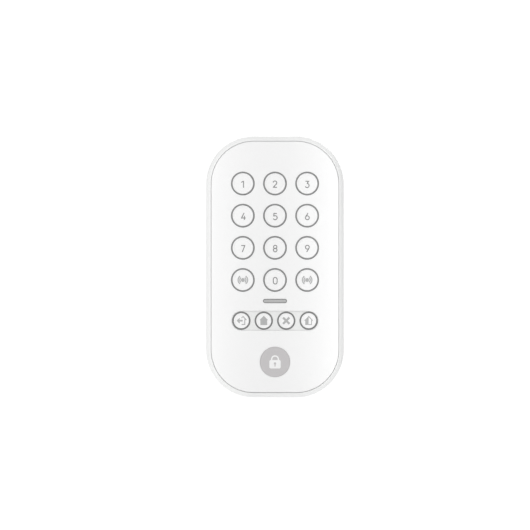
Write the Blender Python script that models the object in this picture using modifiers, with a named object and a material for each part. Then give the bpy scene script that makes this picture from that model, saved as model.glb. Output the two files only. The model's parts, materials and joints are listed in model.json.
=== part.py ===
"""Wireless alarm keypad panel: a wall bracket, and the keypad unit that slides down onto its hooks.

Blender 4.5, metres, +Z up. The wall is the plane Y = 0 and the front faces -Y. The origin is the
middle of the bracket's back, behind the middle of the outline. Sizes are in millimetres, and a
depth is a distance out from the wall, so a point at depth d lies at Y = -d.
"""

import math

import bmesh
import bpy
from mathutils import Matrix, Vector

MM = 0.001
PAST = 1.0  # how far a cutter runs past the face it cuts
SINK = 0.6  # how far a joined shape starts inside the wall that it stands on
CLEARANCE = 0.1  # round a piece that sits in a close hole
FACING_FRONT = (math.pi / 2, 0.0, 0.0)  # turns a shape's own +Z out from the wall

# Outline, seen from the front
WIDTH = 78.0
HEIGHT = 148.0
CORNER_RADIUS = 27.0
CORNER_STEPS = 8

# Layers, each as depths (back, front)
BRACKET = (0.0, 2.0)
BACK_WALL = (2.9, 4.5)
WELL_FLOOR = (8.0, 9.5)
BAY_FLOOR = (17.4, 18.6)
BOARD = (19.0, 20.4)
DOME_FILM = (20.5, 20.65)
KEY_MAT = (20.75, 21.9)
KEY_FLANGE = (22.9, 23.7)
RING_PLATE = (23.8, 24.7)
FASCIA = (24.8, 26.8)
RIM_BACK = 0.6
DOME_TOP = 21.0
RING_TOP = 26.6
KEY_TOP = 27.0

# Case wall and fascia edge, as insets from the outline
WALL = 2.4
LIP_INSET = 2.7
LEDGE_INSET = 4.2
LEDGE = (23.4, 24.7)
FASCIA_INSET = 2.95
SKIRT_INSET = (4.5, 5.7)
SKIRT_BACK = 22.6

# Keys: twelve large ones in a grid and four small ones in a row
KEY_PITCH = 18.2
KEY_TOP_ROW = 47.2
KEY_ROWS = (
    ("key_1", "key_2", "key_3"),
    ("key_4", "key_5", "key_6"),
    ("key_7", "key_8", "key_9"),
    ("key_panic_left", "key_0", "key_panic_right"),
)
FUNCTION_KEYS = ("key_arm_away", "key_arm_home", "key_disarm", "key_arm_part")
FUNCTION_PITCH = 12.7
FUNCTION_ROW = -30.45
LARGE_KEY = {"cap": 5.85, "ring_in": 5.97, "ring_out": 6.62, "flange": 6.5}
LARGE_KEY |= {"stem": 2.0, "mat_hole": 4.2, "dome": 3.0}
SMALL_KEY = {"cap": 4.31, "ring_in": 4.43, "ring_out": 5.08, "flange": 5.0}
SMALL_KEY |= {"stem": 1.7, "mat_hole": 3.4, "dome": 2.6}
KEY_STEPS = 18
KEY_DISH = 0.2
KEY_EDGE = (0.4, 0.35)  # the cap's chamfer, across and down
STEM_LENGTH = 0.95
DOME_SLOPE = 1.4

# Front details
FUNCTION_STRIP = (3 * FUNCTION_PITCH + 10.9, 10.9)
FUNCTION_STRIP_RECESS = 0.35
STATUS_BAR = (13.4, 2.2)
STATUS_BAR_Z = -19.3
STATUS_BAR_FLANGE = 1.0
BADGE_RADIUS = 8.5
BADGE_Z = -53.8
BADGE_RECESS = 0.9

# Sheets behind the keys, as (width, lowest z, highest z, corner radius)
RING_SHEET = (54.4, -37.0, 55.4, 8.0)
MAT_SHEET = (53.0, -36.2, 54.6, 7.0)
BOARD_SHEET = (64.0, -51.0, 55.5, 6.0)

# Board parts: (x, z) of the middle, (width, height), and how far each stands off the board
STATUS_LED = ((0.0, STATUS_BAR_Z), (3.2, 1.6), 0.8)
BACKLIGHTS = ((-9.1, 38.1), (9.1, 38.1), (-9.1, 1.7), (9.1, 1.7))
BACKLIGHT_SIZE = ((1.6, 1.0), 0.8)
STATUS_WINDOW = (12.0, 2.6)
BACKLIGHT_WINDOW = (2.8, 2.8)
RADIO = ((-20.0, 32.0), (18.0, 18.0), 2.5)
CONTROLLER = ((13.0, 30.0), (8.0, 8.0), 1.0)
SOUNDER = (20.0, 46.0)
SOUNDER_SIZE = {"radius": 6.0, "stands": 3.5, "port": 1.0}
ANTENNA_ROUTE = ((-24.0, 41.4), (-24.0, 50.0), (-23.0, 52.4), (-20.6, 53.4), (10.0, 53.4))
ANTENNA_WIRE = 0.45

# Four cells side by side, the first with its positive end up
CELL_RADIUS = 7.25
CELL_LENGTH = 50.5
CELL_NUB = (2.7, 1.2)  # radius and height of the positive end
CELL_PITCH = 14.8
CELL_DEPTH = 9.7
BAY_HALF_WIDTH = 30.2
BAY_Z = (-40.3, 17.3)
BAY_WALL = 1.2
CONTACT_THICKNESS = 0.3
CONTACT_HALF_WIDTH = 6.0
CONTACT_DEPTHS = (4.0, 16.0)
CONTACT_TAB = {"half_width": 1.2, "slot_half_width": 1.6, "slot_z": (16.6, 17.6)}
NUB_GAP = 0.3
CONTACT_COIL = {"foot": 4.6, "head": 3.0, "wire": 0.35, "turns": 2.5, "gap": 0.1}

# Screws from the back of the case into the fascia's posts, and from the board into its pillars
HOUSING_SCREWS = ((-23.0, 61.0), (23.0, 61.0), (-23.0, -61.0), (23.0, -61.0))
BOARD_SCREWS = ((-29.6, 48.0), (29.6, 48.0), (-29.6, -46.0), (29.6, -46.0))
POST = {"radius": 3.2, "bore": 1.5, "bore_front": 19.0}
PILLAR = {"radius": 2.0, "bore": 1.0, "bore_front": 24.4}
WELL = {"radius": 4.2, "bore": 3.1, "hole": 1.7}
BOARD_HOLE = 1.2
SCREW_STEPS = 12

# T hooks that the unit slides down onto, as (x, z), and how far it slides up to come off
HOOKS = ((-20.0, 40.0), (20.0, 40.0), (-20.0, -45.0), (20.0, -45.0))
HOOK_STEM = 2.0
HOOK_LIP = (4.8, 6.4)
HOOK_LIP_HALF = 4.0
HOOK_SLIP = 0.4
LIFT = 6.0

# Upright slots for two countersunk wall screws
WALL_SLOTS = (58.0, -40.0)
WALL_SLOT = (5.0, 10.0)
WALL_SLOT_SEAT = (9.6, 14.6)
WALL_SLOT_LAND = 0.7

# Headless screw in the foot of the case, shown backed out. Driven up by its travel, it comes under
# the bracket's tab and the unit can no longer be lifted off.
LOCK_DEPTH = 6.5
LOCK_TAB_HALF = 5.0
LOCK_TAB_FRONT = 11.0
LOCK_TAB_Z = (-59.0, -56.0)
LOCK_BOSS_HALF = 3.4
LOCK_BOSS_TOP = LOCK_TAB_Z[0] - LIFT - HOOK_SLIP
LOCK_SCREW_Z = (-73.6, -65.6)
LOCK_SCREW_RADIUS = 1.5
LOCK_SOCKET = (0.87, 1.8)

# Tamper plunger, which passes through the bracket to the wall, and its switch on the board
TAMPER = (0.0, 36.0)
TAMPER_TUBE = {"radius": 4.2, "bore": 3.3, "hole": 2.1, "front": 12.0}
TAMPER_WINDOW = 6.4
TAMPER_SWITCH = {"half": 3.0, "back": 15.4, "button": 1.2, "stroke": 0.65}
TAMPER_COLLAR = (7.2, 8.2)
TAMPER_TIP = 0.3
TAMPER_COIL = {"radius": 2.5, "wire": 0.22, "turns": 4.0, "gap": 0.33}

# Material of each finish: (colour, roughness, metallic)
FINISHES = {
    "white_shell": ((0.88, 0.885, 0.88), 0.42, 0.0),
    "white_fascia": ((0.91, 0.91, 0.91), 0.30, 0.0),
    "white_key": ((0.90, 0.905, 0.90), 0.38, 0.0),
    "white_bracket": ((0.80, 0.80, 0.79), 0.55, 0.0),
    "grey_ring": ((0.22, 0.225, 0.225), 0.45, 0.0),
    "grey_lens": ((0.42, 0.42, 0.42), 0.25, 0.0),
    "grey_badge": ((0.55, 0.545, 0.54), 0.35, 0.0),
    "silicone": ((0.72, 0.73, 0.73), 0.65, 0.0),
    "dome_film": ((0.70, 0.66, 0.52), 0.35, 0.0),
    "board_green": ((0.02, 0.16, 0.07), 0.45, 0.0),
    "chip_black": ((0.015, 0.015, 0.017), 0.5, 0.0),
    "led_clear": ((0.85, 0.82, 0.6), 0.25, 0.0),
    "steel": ((0.56, 0.57, 0.58), 0.3, 1.0),
    "nickel": ((0.66, 0.63, 0.56), 0.28, 1.0),
    "cell_sleeve": ((0.05, 0.055, 0.06), 0.35, 0.0),
    "tamper_white": ((0.83, 0.83, 0.80), 0.5, 0.0),
}


def point(x, depth, z):
    """A place in metres, from millimetres across, out from the wall, and up."""
    return Vector((x, -depth, z)) * MM


def rounded_rectangle(width, height, radius, centre=(0.0, 0.0), steps=CORNER_STEPS):
    """The outline's (x, z) points, anticlockwise from the right. A full radius gives round ends."""
    points = []
    for quarter, (side_x, side_z) in enumerate(((1, 1), (-1, 1), (-1, -1), (1, -1))):
        middle_x = centre[0] + side_x * (width / 2 - radius)
        middle_z = centre[1] + side_z * (height / 2 - radius)
        for step in range(steps + 1):
            angle = (quarter + step / steps) * math.pi / 2
            corner = (middle_x + radius * math.cos(angle), middle_z + radius * math.sin(angle))
            if not points or math.dist(corner, points[-1]) > 1e-6:
                points.append(corner)
    if math.dist(points[0], points[-1]) < 1e-6:
        points.pop()
    return points


def case_outline(inset):
    """The case's outline, moved in by that much."""
    return rounded_rectangle(WIDTH - 2 * inset, HEIGHT - 2 * inset, CORNER_RADIUS - inset)


def stadium(width, height, centre, grow=0.0):
    """An outline with round ends, grown all round."""
    height += 2 * grow
    return rounded_rectangle(width + 2 * grow, height, min(width + 2 * grow, height) / 2, centre, steps=4)


def sheet_outline(sheet):
    """A rounded rectangle from (width, lowest z, highest z, corner radius)."""
    width, low, high, radius = sheet
    return rounded_rectangle(width, high - low, radius, (0.0, (low + high) / 2), steps=4)


def key_places():
    """Each key's name, its (x, z) and its sizes."""
    for row, names in enumerate(KEY_ROWS):
        for column, name in enumerate(names):
            yield name, ((column - 1) * KEY_PITCH, KEY_TOP_ROW - row * KEY_PITCH), LARGE_KEY
    for column, name in enumerate(FUNCTION_KEYS):
        yield name, ((column - 1.5) * FUNCTION_PITCH, FUNCTION_ROW), SMALL_KEY


def around(middle, half):
    """The range that reaches that far each way from the middle."""
    return (middle - half, middle + half)


def past(depths):
    """Depths for a cutter that goes right through them."""
    return (depths[0] - PAST, depths[1] + PAST)


def add_loft(bm, sections, ring=False):
    """Skins over (outline, depth) sections. The ends are capped, or joined if it is a ring."""
    loops = [[bm.verts.new(point(x, depth, z)) for x, z in outline] for outline, depth in sections]
    for back, front in zip(loops, loops[1:] + loops[:1] if ring else loops[1:]):
        for i, (a, b) in enumerate(zip(back, front)):
            j = (i + 1) % len(back)
            bm.faces.new((a, back[j], front[j], b))
    if not ring:
        bm.faces.new(loops[0])
        bm.faces.new(loops[-1])


def add_plate(bm, outline, depths):
    """Extrudes the outline from the first depth to the second."""
    back, front = depths
    face = bm.faces.new([bm.verts.new(point(x, back, z)) for x, z in outline])
    made = bmesh.ops.extrude_face_region(bm, geom=[face])["geom"]
    moved = [element for element in made if isinstance(element, bmesh.types.BMVert)]
    bmesh.ops.translate(bm, verts=moved, vec=point(0.0, front - back, 0.0))


def add_box(bm, x, depths, z):
    """A block from three (low, high) ranges."""
    size = [(high - low) * MM for low, high in (x, depths, z)]
    middle = point(sum(x) / 2, sum(depths) / 2, sum(z) / 2)
    bmesh.ops.create_cube(bm, matrix=Matrix.Translation(middle) @ Matrix.Diagonal((*size, 1.0)))


def add_rod(bm, place, radius, depths, steps=KEY_STEPS, front_radius=None):
    """A round rod, or a cone if the front radius differs, that stands out from the wall."""
    back, front = depths
    middle = point(place[0], (back + front) / 2, place[1])
    bmesh.ops.create_cone(
        bm,
        cap_ends=True,
        segments=steps,
        radius1=radius * MM,
        radius2=(radius if front_radius is None else front_radius) * MM,
        depth=(front - back) * MM,
        matrix=Matrix.Translation(middle) @ Matrix.Rotation(math.pi / 2, 4, "X"),
    )


def add_upright_rod(bm, x, depth, radius, z, steps=16):
    """A round rod along Z."""
    bmesh.ops.create_cone(
        bm,
        cap_ends=True,
        segments=steps,
        radius1=radius * MM,
        radius2=radius * MM,
        depth=(z[1] - z[0]) * MM,
        matrix=Matrix.Translation(point(x, depth, sum(z) / 2)),
    )


def finish_of(name):
    """The material of that name, made at its first use."""
    found = bpy.data.materials.get(name)
    if found:
        return found
    colour, roughness, metallic = FINISHES[name]
    made = bpy.data.materials.new(name)
    made.use_nodes = True
    made.diffuse_color = (*colour, 1.0)
    shader = made.node_tree.nodes["Principled BSDF"]
    shader.inputs["Base Color"].default_value = (*colour, 1.0)
    shader.inputs["Roughness"].default_value = roughness
    shader.inputs["Metallic"].default_value = metallic
    return made


def mesh_of(bm, name):
    """The bmesh as a mesh with its faces pointing out."""
    bmesh.ops.recalc_face_normals(bm, faces=bm.faces[:])
    mesh = bpy.data.meshes.new(name)
    bm.to_mesh(mesh)
    bm.free()
    mesh.shade_smooth()
    mesh.set_sharp_from_angle(angle=math.radians(30))
    return mesh


def place_part(name, data, finish, parent, location=(0.0, 0.0, 0.0), rotation=(0.0, 0.0, 0.0)):
    """Puts a mesh, a bmesh or a curve in the model as a named part."""
    if isinstance(data, bmesh.types.BMesh):
        data = mesh_of(data, name)
    if not data.materials:
        data.materials.append(finish_of(finish))
    obj = bpy.data.objects.new(name, data)
    bpy.data.collections["alarm_keypad_panel"].objects.link(obj)
    obj.location = location
    obj.rotation_euler = rotation
    obj.parent = parent
    return obj


def combine(obj, bm, operation):
    """Joins the shape to the part, or cuts it away, with a Boolean modifier."""
    name = f"{obj.name}_{operation.lower()}"
    helper = bpy.data.objects.new(name, mesh_of(bm, name))
    bpy.data.collections["cutters"].objects.link(helper)
    helper.hide_render = True
    helper.display_type = "WIRE"
    modifier = obj.modifiers.new(name, "BOOLEAN")
    modifier.operation = operation
    modifier.solver = "EXACT"
    modifier.use_self = True
    modifier.object = helper


def profile_mesh(name, profile):
    """An open profile of (radius, height) points, from the top of the axis to its bottom."""
    mesh = bpy.data.meshes.new(name)
    points = [(radius * MM, 0.0, height * MM) for radius, height in profile]
    mesh.from_pydata(points, [(i, i + 1) for i in range(len(points) - 1)], [])
    return mesh


def turn_profile(obj, steps):
    """Turns the part's profile round its own Z axis."""
    screw = obj.modifiers.new("turn", "SCREW")
    screw.angle = 2 * math.pi
    screw.steps = steps
    screw.render_steps = steps
    screw.use_merge_vertices = True
    screw.merge_threshold = 1e-5


def wire(name, points, radius):
    """A round wire along the points, which are in metres."""
    curve = bpy.data.curves.new(name, "CURVE")
    curve.dimensions = "3D"
    curve.bevel_depth = radius * MM
    curve.bevel_resolution = 1
    curve.use_fill_caps = True
    spline = curve.splines.new("POLY")
    spline.points.add(len(points) - 1)
    for spot, place in zip(spline.points, points):
        spot.co = (*place, 1.0)
    return curve


def coil(name, foot_radius, head_radius, wire_radius, height, turns, points_a_turn=8):
    """A spring along its own Z axis, from the foot up."""
    points = []
    count = round(turns * points_a_turn)
    for i in range(count + 1):
        share = i / count
        angle = 2 * math.pi * turns * share
        radius = foot_radius + (head_radius - foot_radius) * share
        points.append(Vector((radius * math.cos(angle), radius * math.sin(angle), height * share)) * MM)
    return wire(name, points, wire_radius)


def build_wall_bracket():
    """The back plate: screwed to the wall, with four T hooks and a tab over the lock screw.
    Its foot is short by the unit's lift, so that the unit's rim can rise past it."""
    inset = WALL + HOOK_SLIP
    short = LIFT + HOOK_SLIP
    sections = []
    for edge, depth in ((0.4, BRACKET[0]), (0.0, 0.4), (0.0, BRACKET[1])):
        width, height = (size - 2 * (inset + edge) for size in (WIDTH, HEIGHT))
        radius = CORNER_RADIUS - inset - edge
        sections.append((rounded_rectangle(width, height - short, radius, (0.0, short / 2)), depth))
    plate = bmesh.new()
    add_loft(plate, sections)
    bracket = place_part("wall_bracket", plate, "white_bracket", None)

    added = bmesh.new()
    for x, z in HOOKS:
        height = around(z, HOOK_STEM)
        add_box(added, around(x, HOOK_STEM), (BRACKET[1] - SINK, HOOK_LIP[1]), height)
        add_box(added, around(x, HOOK_LIP_HALF), HOOK_LIP, height)
    add_box(added, around(0.0, LOCK_TAB_HALF), (BRACKET[1] - SINK, LOCK_TAB_FRONT), LOCK_TAB_Z)
    combine(bracket, added, "UNION")

    removed = bmesh.new()
    for z in WALL_SLOTS:
        hole = stadium(*WALL_SLOT, (0.0, z))
        seat = stadium(*WALL_SLOT_SEAT, (0.0, z))
        front = BRACKET[1]
        add_loft(removed, [(hole, -PAST), (hole, WALL_SLOT_LAND), (seat, front), (seat, front + PAST)])
    window = stadium(TAMPER_WINDOW, TAMPER_WINDOW + LIFT, (TAMPER[0], TAMPER[1] + LIFT / 2))
    add_plate(removed, window, past(BRACKET))
    combine(bracket, removed, "DIFFERENCE")


def shell_profile():
    """The case wall's section as (inset, depth): up the outside, over the lip, back down inside."""
    return (
        (0.5, RIM_BACK),
        (0.0, 1.2),
        (0.0, 21.6),
        (0.12, 22.4),
        (0.45, 23.2),
        (2.35, 26.2),
        (2.52, 26.42),
        (LIP_INSET, 26.5),
        (LIP_INSET, LEDGE[1]),
        (LEDGE_INSET, LEDGE[1]),
        (LEDGE_INSET, LEDGE[0]),
        (WALL, 21.6),
        (WALL, RIM_BACK),
    )


def build_rear_housing(unit):
    """The case: outer wall, back wall with the open battery bay, screw wells and tamper tube."""
    walls = bmesh.new()
    add_loft(walls, [(case_outline(inset), depth) for inset, depth in shell_profile()], ring=True)
    housing = place_part("rear_housing", walls, "white_shell", unit)
    start = BACK_WALL[0] + SINK
    foot = -HEIGHT / 2

    added = bmesh.new()
    add_plate(added, case_outline(WALL - SINK), BACK_WALL)
    bay_z = (BAY_Z[0] - BAY_WALL, BAY_Z[1] + BAY_WALL)
    add_box(added, around(0.0, BAY_HALF_WIDTH + BAY_WALL), (start, BAY_FLOOR[1]), bay_z)
    for place in HOUSING_SCREWS:
        add_rod(added, place, WELL["radius"], (start, WELL_FLOOR[1]), 16)
    add_rod(added, TAMPER, TAMPER_TUBE["radius"], (start, TAMPER_TUBE["front"]), 16)
    boss_front = LOCK_DEPTH + LOCK_BOSS_HALF
    add_box(added, around(0.0, LOCK_BOSS_HALF), (start, boss_front), (foot + SINK, LOCK_BOSS_TOP))
    combine(housing, added, "UNION")

    removed = bmesh.new()
    add_box(removed, around(0.0, BAY_HALF_WIDTH), (BACK_WALL[0] - PAST, BAY_FLOOR[0]), BAY_Z)
    for x in (-1.5 * CELL_PITCH, 1.5 * CELL_PITCH):
        add_box(removed, around(x, CONTACT_TAB["slot_half_width"]), past(BAY_FLOOR), CONTACT_TAB["slot_z"])
    for place in HOUSING_SCREWS:
        add_rod(removed, place, WELL["bore"], (BACK_WALL[0] - PAST, WELL_FLOOR[0]), 16)
        add_rod(removed, place, WELL["hole"], past(WELL_FLOOR), SCREW_STEPS)
    add_rod(removed, TAMPER, TAMPER_TUBE["bore"], (BACK_WALL[1], TAMPER_TUBE["front"] + PAST), 16)
    add_rod(removed, TAMPER, TAMPER_TUBE["hole"], past(BACK_WALL), SCREW_STEPS)
    cut_bracket_openings(removed)
    bore = LOCK_SCREW_RADIUS + CLEARANCE
    add_upright_rod(removed, 0.0, LOCK_DEPTH, bore, (foot - PAST, LOCK_BOSS_TOP + PAST))
    combine(housing, removed, "DIFFERENCE")


def cut_bracket_openings(bm):
    """Keyholes for the bracket's hooks, wide below and narrow above, and a slot for its tab."""
    through = past(BACK_WALL)
    narrow = HOOK_STEM + HOOK_SLIP
    for x, z in HOOKS:
        bottom = z - LIFT - narrow
        add_box(bm, around(x, narrow), through, (bottom, z + narrow))
        add_box(bm, around(x, HOOK_LIP_HALF + HOOK_SLIP), through, (bottom, z - LIFT + narrow))
    tab_z = (LOCK_TAB_Z[0] - LIFT - HOOK_SLIP, LOCK_TAB_Z[1] + HOOK_SLIP)
    add_box(bm, around(0.0, LOCK_TAB_HALF + HOOK_SLIP), through, tab_z)


def build_front_fascia(unit):
    """The front panel: key holes, light bar slot, recesses, and the pillars that hold it."""
    edge = ((0.0, FASCIA[0]), (0.0, 26.35), (0.12, 26.62), (0.4, FASCIA[1]))
    panel = bmesh.new()
    add_loft(panel, [(case_outline(FASCIA_INSET + inset), depth) for inset, depth in edge])
    fascia = place_part("front_fascia", panel, "white_fascia", unit)

    added = bmesh.new()
    inside = FASCIA[0] + SINK
    outer, inner = (case_outline(inset) for inset in SKIRT_INSET)
    skirt = [(outer, SKIRT_BACK), (outer, inside), (inner, inside), (inner, SKIRT_BACK)]
    add_loft(added, skirt, ring=True)
    for place in HOUSING_SCREWS:
        add_rod(added, place, POST["radius"], (WELL_FLOOR[1] + 2 * CLEARANCE, inside), 16)
    for place in BOARD_SCREWS:
        add_rod(added, place, PILLAR["radius"], (BOARD[1] + CLEARANCE, inside), 12)
    combine(fascia, added, "UNION")

    removed = bmesh.new()
    for _, place, sizes in key_places():
        add_rod(removed, place, sizes["ring_out"] + CLEARANCE, past(FASCIA))
    strip = stadium(*FUNCTION_STRIP, (0.0, FUNCTION_ROW))
    add_plate(removed, strip, (FASCIA[1] - FUNCTION_STRIP_RECESS, FASCIA[1] + PAST))
    add_plate(removed, stadium(*STATUS_BAR, (0.0, STATUS_BAR_Z), CLEARANCE), past(FASCIA))
    badge_depths = (FASCIA[1] - BADGE_RECESS, FASCIA[1] + PAST)
    add_rod(removed, (0.0, BADGE_Z), BADGE_RADIUS + CLEARANCE, badge_depths, 28)
    for place in HOUSING_SCREWS:
        add_rod(removed, place, POST["bore"], (WELL_FLOOR[1] - PAST, POST["bore_front"]), SCREW_STEPS)
    for place in BOARD_SCREWS:
        add_rod(removed, place, PILLAR["bore"], (BOARD[1] - PAST, PILLAR["bore_front"]), 10)
    combine(fascia, removed, "DIFFERENCE")


def build_key_ring_guide(unit):
    """The grey moulding behind the fascia whose sixteen collars show as a ring round each key."""
    plate = bmesh.new()
    add_plate(plate, sheet_outline(RING_SHEET), RING_PLATE)
    guide = place_part("key_ring_guide", plate, "grey_ring", unit)
    added, removed = bmesh.new(), bmesh.new()
    for _, place, sizes in key_places():
        add_rod(added, place, sizes["ring_out"], (RING_PLATE[1] - SINK, RING_TOP))
        add_rod(removed, place, sizes["ring_in"], (RING_PLATE[0] - PAST, RING_TOP + PAST))
    width, height = (size / 2 + STATUS_BAR_FLANGE + 4 * CLEARANCE for size in STATUS_BAR)
    add_box(removed, around(0.0, width), past(RING_PLATE), around(STATUS_BAR_Z, height))
    combine(guide, added, "UNION")
    combine(guide, removed, "DIFFERENCE")


def key_profile(sizes):
    """A key's section from the middle of its dished top to the end of its stem."""
    across, down = KEY_EDGE
    back, front = (depth - KEY_TOP for depth in KEY_FLANGE)
    return (
        (0.0, -KEY_DISH),
        (sizes["cap"] - across, 0.0),
        (sizes["cap"], -down),
        (sizes["cap"], front),
        (sizes["flange"], front),
        (sizes["flange"], back),
        (sizes["stem"], back),
        (sizes["stem"], back - STEM_LENGTH),
        (0.0, back - STEM_LENGTH),
    )


def build_keys(unit):
    """Sixteen keys, each turned about its own press axis, with a flange that keeps it in."""
    large = profile_mesh("large_key", key_profile(LARGE_KEY))
    small = profile_mesh("small_key", key_profile(SMALL_KEY))
    for name, (x, z), sizes in key_places():
        mesh = large if sizes is LARGE_KEY else small
        key = place_part(name, mesh, "white_key", unit, point(x, KEY_TOP, z), FACING_FRONT)
        turn_profile(key, KEY_STEPS)


def cut_light_windows(bm, depths):
    """Openings over the status light and the key lights."""
    width, height = STATUS_WINDOW
    add_box(bm, around(0.0, width / 2), depths, around(STATUS_BAR_Z, height / 2))
    width, height = BACKLIGHT_WINDOW
    for x, z in BACKLIGHTS:
        add_box(bm, around(x, width / 2), depths, around(z, height / 2))


def build_key_mat(unit):
    """The silicone mat under the keys, open where its thin webs carry each key."""
    sheet = bmesh.new()
    add_plate(sheet, sheet_outline(MAT_SHEET), KEY_MAT)
    mat = place_part("key_mat", sheet, "silicone", unit)
    removed = bmesh.new()
    for _, place, sizes in key_places():
        add_rod(removed, place, sizes["mat_hole"], past(KEY_MAT), 12)
    cut_light_windows(removed, past(KEY_MAT))
    combine(mat, removed, "DIFFERENCE")


def build_dome_film(unit):
    """The film on the board that carries a snap dome under each key."""
    sheet = bmesh.new()
    add_plate(sheet, sheet_outline(MAT_SHEET), DOME_FILM)
    film = place_part("dome_film", sheet, "dome_film", unit)
    added, removed = bmesh.new(), bmesh.new()
    start = sum(DOME_FILM) / 2
    for _, place, sizes in key_places():
        foot = sizes["dome"]
        add_rod(added, place, foot, (start, DOME_TOP), 10, foot - DOME_SLOPE)
    cut_light_windows(removed, past(DOME_FILM))
    combine(film, added, "UNION")
    combine(film, removed, "DIFFERENCE")


def build_circuit_board(unit):
    """The board, with its four screw holes."""
    sheet = bmesh.new()
    add_plate(sheet, sheet_outline(BOARD_SHEET), BOARD)
    board = place_part("circuit_board", sheet, "board_green", unit)
    removed = bmesh.new()
    for place in BOARD_SCREWS:
        add_rod(removed, place, BOARD_HOLE, past(BOARD), 12)
    combine(board, removed, "DIFFERENCE")


def build_block(name, finish, unit, place, size, stands, on_front):
    """A plain square component that stands on the board's front or back."""
    if on_front:
        depths = (BOARD[1] + CLEARANCE, BOARD[1] + CLEARANCE + stands)
    else:
        depths = (BOARD[0] - CLEARANCE - stands, BOARD[0] - CLEARANCE)
    bm = bmesh.new()
    add_box(bm, around(place[0], size[0] / 2), depths, around(place[1], size[1] / 2))
    place_part(name, bm, finish, unit)


def build_board_components(unit):
    """What stands on the board: lights in front, the rest behind and clear of the battery bay."""
    build_block("status_led", "led_clear", unit, *STATUS_LED, on_front=True)
    for number, place in enumerate(BACKLIGHTS, start=1):
        build_block(f"backlight_led_{number}", "led_clear", unit, place, *BACKLIGHT_SIZE, on_front=True)
    build_block("radio_module", "steel", unit, *RADIO, on_front=False)
    build_block("microcontroller", "chip_black", unit, *CONTROLLER, on_front=False)

    front = BOARD[0] - CLEARANCE
    back = front - SOUNDER_SIZE["stands"]
    can, port = bmesh.new(), bmesh.new()
    add_rod(can, SOUNDER, SOUNDER_SIZE["radius"], (back, front), 24)
    sounder = place_part("sounder", can, "chip_black", unit)
    add_rod(port, SOUNDER, SOUNDER_SIZE["port"], (back - PAST, back + PAST), 10)
    combine(sounder, port, "DIFFERENCE")

    depth = front - ANTENNA_WIRE - CLEARANCE
    antenna = wire("antenna_wire", [point(x, depth, z) for x, z in ANTENNA_ROUTE], ANTENNA_WIRE)
    place_part("antenna_wire", antenna, "nickel", unit)


def build_status_light_bar(unit):
    """The lens in the fascia's slot, with a flange behind it."""
    lens = bmesh.new()
    step = RING_PLATE[1]
    sections = (
        (STATUS_BAR_FLANGE, RING_PLATE[0] + CLEARANCE),
        (STATUS_BAR_FLANGE, step),
        (0.0, step),
        (0.0, RING_TOP + CLEARANCE),
    )
    add_loft(lens, [(stadium(*STATUS_BAR, (0.0, STATUS_BAR_Z), grow), depth) for grow, depth in sections])
    place_part("status_light_bar", lens, "grey_lens", unit)


def build_badge_disc(unit):
    """The plain disc set in the fascia's lower recess."""
    back, face = FASCIA[1] - BADGE_RECESS + CLEARANCE, FASCIA[1] - 0.05
    edge = 0.15
    profile = (
        (0.0, face),
        (BADGE_RADIUS - edge, face),
        (BADGE_RADIUS, face - edge),
        (BADGE_RADIUS, back),
        (0.0, back),
    )
    mesh = profile_mesh("badge_disc", profile)
    disc = place_part("badge_disc", mesh, "grey_badge", unit, point(0.0, 0.0, BADGE_Z), FACING_FRONT)
    turn_profile(disc, 28)


def build_tamper_switch(unit):
    """The switch on the board, the plunger that reaches the wall, and the spring round it."""
    x, z = TAMPER
    back = TAMPER_SWITCH["back"]
    body, button = bmesh.new(), bmesh.new()
    half = TAMPER_SWITCH["half"]
    add_box(body, around(x, half), (back, BOARD[0] - CLEARANCE), around(z, half))
    switch = place_part("tamper_switch", body, "chip_black", unit)
    reach = back - TAMPER_SWITCH["stroke"]
    add_rod(button, TAMPER, TAMPER_SWITCH["button"], (reach, back + SINK), 12)
    combine(switch, button, "UNION")

    rod, collar = 1.7, 2.9
    collar_back, collar_front = TAMPER_COLLAR
    end = reach - 0.15
    profile = (
        (0.0, end),
        (rod, end),
        (rod, collar_front),
        (collar, collar_front),
        (collar, collar_back),
        (rod, collar_back),
        (rod, TAMPER_TIP + SINK),
        (rod - SINK, TAMPER_TIP),
        (0.0, TAMPER_TIP),
    )
    mesh = profile_mesh("tamper_plunger", profile)
    plunger = place_part("tamper_plunger", mesh, "tamper_white", unit, point(x, 0.0, z), FACING_FRONT)
    turn_profile(plunger, 12)

    size = TAMPER_COIL
    foot = collar_front + size["gap"] + size["wire"]
    height = back - foot - size["gap"]
    spring = coil("tamper_spring", size["radius"], size["radius"], size["wire"], height, size["turns"])
    place_part("tamper_spring", spring, "steel", unit, point(x, foot, z), FACING_FRONT)


def build_batteries(unit):
    """Four cells, every other one turned over."""
    nub_radius, nub_height = CELL_NUB
    shoulder = CELL_LENGTH - nub_height
    edge = 0.5
    profile = (
        (0.0, CELL_LENGTH),
        (nub_radius, CELL_LENGTH),
        (nub_radius, shoulder),
        (CELL_RADIUS - edge, shoulder),
        (CELL_RADIUS, shoulder - edge),
        (CELL_RADIUS, edge),
        (CELL_RADIUS - edge, 0.0),
        (0.0, 0.0),
    )
    mesh = profile_mesh("battery", profile)
    reach = CLEARANCE + CONTACT_THICKNESS + NUB_GAP
    for i in range(4):
        x = (i - 1.5) * CELL_PITCH
        if i % 2 == 0:
            foot, turn = BAY_Z[1] - reach - CELL_LENGTH, 0.0
        else:
            foot, turn = BAY_Z[0] + reach + CELL_LENGTH, math.pi
        place = point(x, CELL_DEPTH, foot)
        cell = place_part(f"battery_{i + 1}", mesh, "cell_sleeve", unit, place, (turn, 0.0, 0.0))
        turn_profile(cell, 18)


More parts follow.
